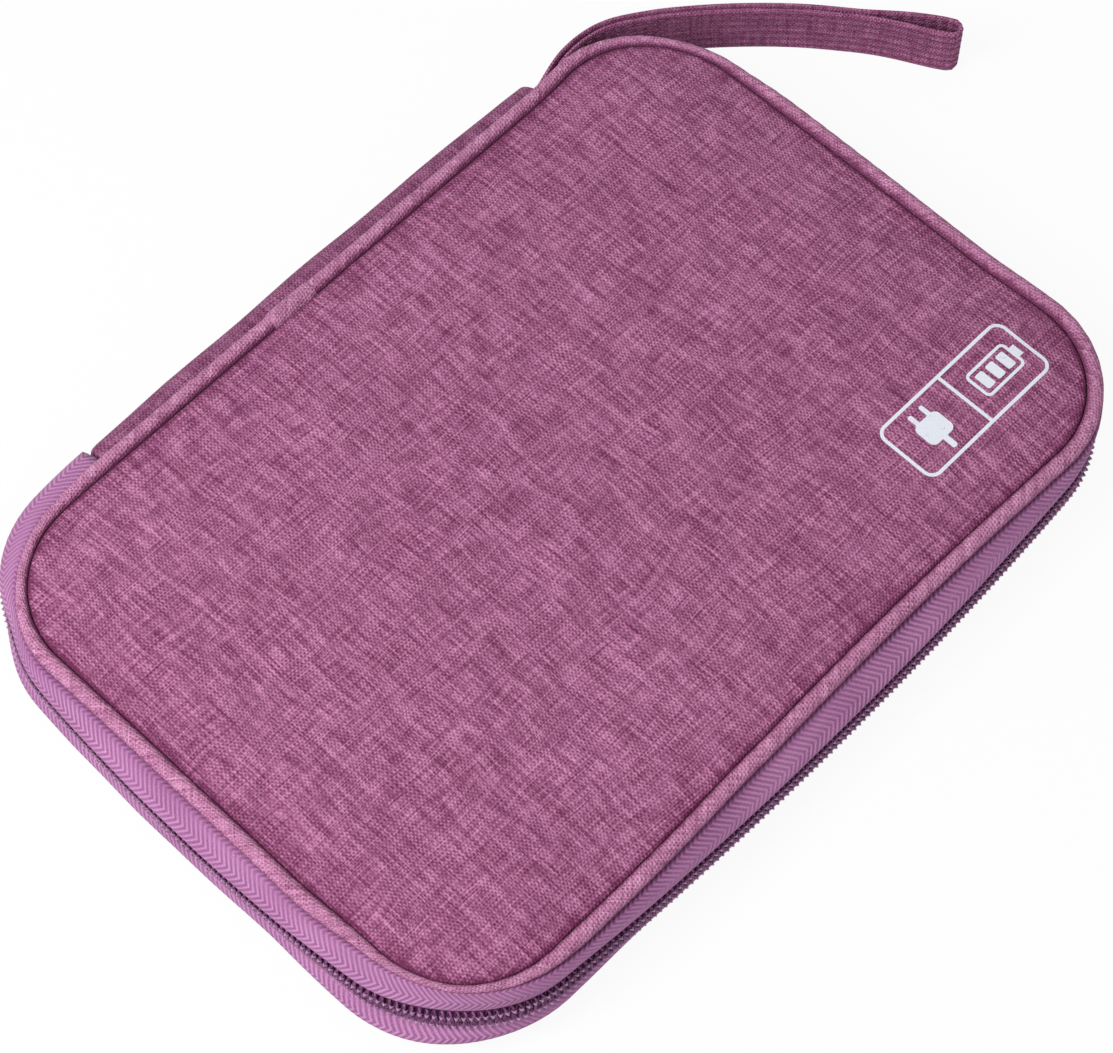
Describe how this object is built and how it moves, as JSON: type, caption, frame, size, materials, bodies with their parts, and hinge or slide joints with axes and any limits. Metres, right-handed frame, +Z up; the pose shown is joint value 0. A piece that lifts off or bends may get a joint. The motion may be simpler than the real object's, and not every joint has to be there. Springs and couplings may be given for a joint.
{
  "type": "cable organizer pouch",
  "caption": "Flat zip-round fabric pouch that opens like a book, with elastic cable loops, card pockets, a mesh pocket and a folded hand strap.",
  "frame": {"origin": "centre of the base panel's flat outer face, on the surface that the closed pouch lies on", "axes": "+Z up out of the closed lid; +X along the long sides, towards the hand strap's end; +Y towards the fabric spine"},
  "size_m": [0.2908, 0.1755, 0.0253],
  "materials": {
    "cover_fabric": "heathered woven polyester",
    "piping_fabric": "bias-cut woven polyester",
    "piping_cord": "twisted cotton",
    "foam": "closed-cell foam",
    "lining": "plain woven nylon",
    "zip_tape": "herringbone tape",
    "zip_coil": "nylon coil",
    "binding": "grosgrain",
    "elastic": "ribbed elastic",
    "pocket_fabric": "plain woven nylon",
    "mesh": "knitted mesh",
    "print": "screen print",
    "slider_metal": "enamelled zinc",
    "strap_fabric": "heathered woven polyester"
  },
  "bodies": {
    "base": {"base_panel": "cover_fabric", "base_foam": "foam", "base_lining": "lining", "base_piping_cover": "piping_fabric", "base_piping_cord": "piping_cord", "base_zip_tape": "zip_tape", "base_zip_coil": "zip_coil", "base_seam_binding": "binding", "elastic_band_1": "elastic", "elastic_band_2": "elastic", "elastic_band_3": "elastic", "card_pocket_1": "pocket_fabric", "card_pocket_2": "pocket_fabric", "card_pocket_3": "pocket_fabric"},
    "spine": {"spine_gusset": "cover_fabric", "spine_foam": "foam", "spine_lining": "lining"},
    "lid": {"lid_panel": "cover_fabric", "lid_foam": "foam", "lid_lining": "lining", "lid_piping_cover": "piping_fabric", "lid_piping_cord": "piping_cord", "lid_piping_overlap": "piping_fabric", "lid_zip_tape": "zip_tape", "lid_zip_coil": "zip_coil", "lid_seam_binding": "binding", "mesh_pocket_binding": "binding", "mesh_pocket_net": "mesh", "pocket_zip_lower_tape": "zip_tape", "pocket_zip_upper_tape": "zip_tape", "pocket_zip_coil": "zip_coil", "pocket_zip_stops": "zip_coil", "printed_badge": "print"},
    "slider_a": {"slider_a_body": "slider_metal", "slider_a_crown": "slider_metal"},
    "slider_a_pull": {"slider_a_pull": "slider_metal"},
    "slider_b": {"slider_b_body": "slider_metal", "slider_b_crown": "slider_metal"},
    "slider_b_pull": {"slider_b_pull": "slider_metal"},
    "pocket_slider": {"pocket_slider_body": "slider_metal", "pocket_slider_crown": "slider_metal"},
    "pocket_pull": {"pocket_slider_pull": "slider_metal"},
    "strap": {"hand_strap": "strap_fabric"}
  },
  "joints": [
    {"name": "spine_fold", "type": "hinge", "parent": "base", "child": "spine", "pos_m": [0, 0.0822, 0.0023], "axis": [-1, 0, 0], "range_deg": [0, 90]},
    {"name": "lid_fold", "type": "hinge", "parent": "spine", "child": "lid", "pos_m": [0, 0.0822, 0.0227], "axis": [-1, 0, 0], "range_deg": [0, 90]},
    {"name": "slider_a_slide", "type": "slide", "parent": "base", "child": "slider_a", "axis": [0, 1, 0], "range_m": [0, 0.036]},
    {"name": "slider_a_pull_swing", "type": "hinge", "parent": "slider_a", "child": "slider_a_pull", "pos_m": [0.12155, 0.0062, 0.0125], "axis": [0, 0, -1], "range_deg": [0, 95]},
    {"name": "slider_b_slide", "type": "slide", "parent": "base", "child": "slider_b", "axis": [0, -1, 0], "range_m": [0, 0.036]},
    {"name": "slider_b_pull_swing", "type": "hinge", "parent": "slider_b", "child": "slider_b_pull", "pos_m": [0.12155, -0.0062, 0.0125], "axis": [0, 0, 1], "range_deg": [0, 95]},
    {"name": "pocket_slider_slide", "type": "slide", "parent": "lid", "child": "pocket_slider", "axis": [-1, 0, 0], "range_m": [0, 0.169]},
    {"name": "pocket_pull_swing", "type": "hinge", "parent": "pocket_slider", "child": "pocket_pull", "pos_m": [0.08474, 0.056, 0.01709], "axis": [0, -1, 0], "range_deg": [0, 160]},
    {"name": "strap_swing", "type": "hinge", "parent": "spine", "child": "strap", "pos_m": [0.083, 0.08655, 0.0083], "axis": [0, 0, 1], "range_deg": [0, 80]}
  ],
  "couplings": [
    {"joint": "lid_fold", "follows": "spine_fold", "ratio": 1}
  ]
}
